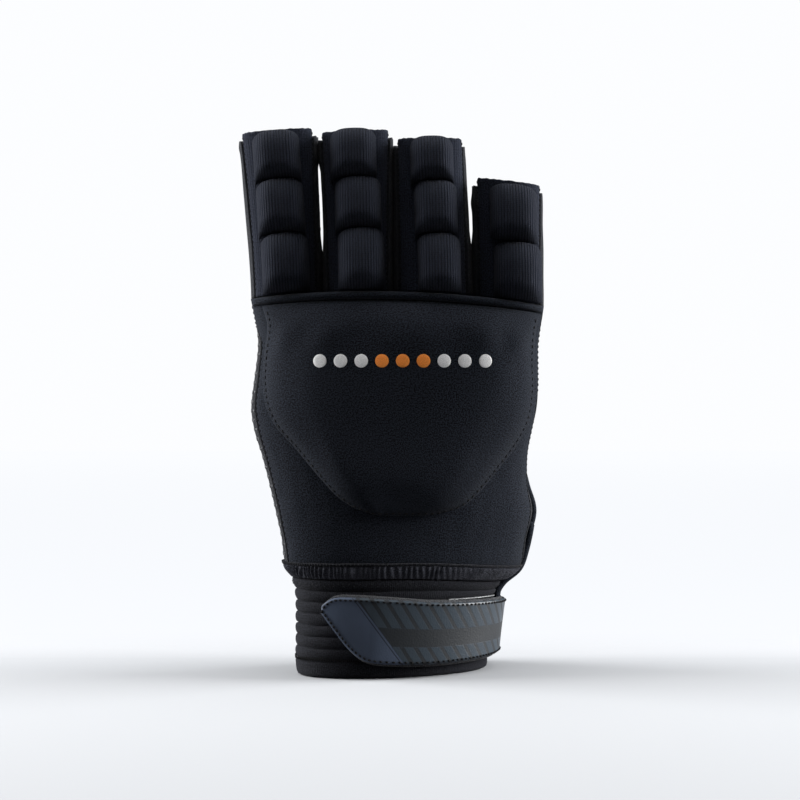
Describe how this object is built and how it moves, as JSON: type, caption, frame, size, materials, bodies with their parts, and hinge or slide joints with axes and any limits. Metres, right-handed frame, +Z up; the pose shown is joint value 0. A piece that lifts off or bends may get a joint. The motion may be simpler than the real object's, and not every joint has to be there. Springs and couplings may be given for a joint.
{
  "type": "field hockey glove",
  "caption": "Half-finger left-hand glove with foam finger pads, a raised knuckle guard, an open thumb hole, a ribbed wrist band and a wrap strap.",
  "frame": {"origin": "middle of the glove's plan, on the surface that the wrist band stands on", "axes": "+Z up from the wrist to the fingers, +X to the thumb side, -Y out of the back of the hand"},
  "size_m": [0.1066, 0.0578, 0.1888],
  "materials": {
    "neoprene": "black jersey-faced neoprene, matt",
    "rib_knit": "black fine rib knit over foam, matt",
    "grip_cloth": "black synthetic suede with printed grip dots",
    "elastic": "black ribbed elastic, matt",
    "overlock_thread": "black overlocked thread",
    "leatherette": "slate leatherette with gloss printed bars",
    "felt": "dark grey felt, fuzzy at its cut edge",
    "hook_tape": "black moulded hook tape"
  },
  "bodies": {
    "root": {"band_hem": "elastic", "wrist_band": "elastic", "wrist_seam": "overlock_thread", "back_panel": "neoprene", "palm_panel": "grip_cloth", "thumb_piping": "neoprene", "knuckle_guard": "neoprene", "knuckle_binding": "neoprene", "hook_patch": "hook_tape", "strap_backing": "felt", "strap_face": "leatherette", "little_finger_back": "rib_knit", "little_finger_palm": "grip_cloth", "little_pad_1": "rib_knit", "little_pad_2": "rib_knit", "little_pad_3": "rib_knit", "ring_finger_back": "rib_knit", "ring_finger_palm": "grip_cloth", "ring_pad_1": "rib_knit", "ring_pad_2": "rib_knit", "ring_pad_3": "rib_knit", "middle_finger_back": "rib_knit", "middle_finger_palm": "grip_cloth", "middle_pad_1": "rib_knit", "middle_pad_2": "rib_knit", "middle_pad_3": "rib_knit", "index_finger_back": "rib_knit", "index_finger_palm": "grip_cloth", "index_pad_1": "rib_knit", "index_pad_2": "rib_knit"}
  },
  "joints": []
}
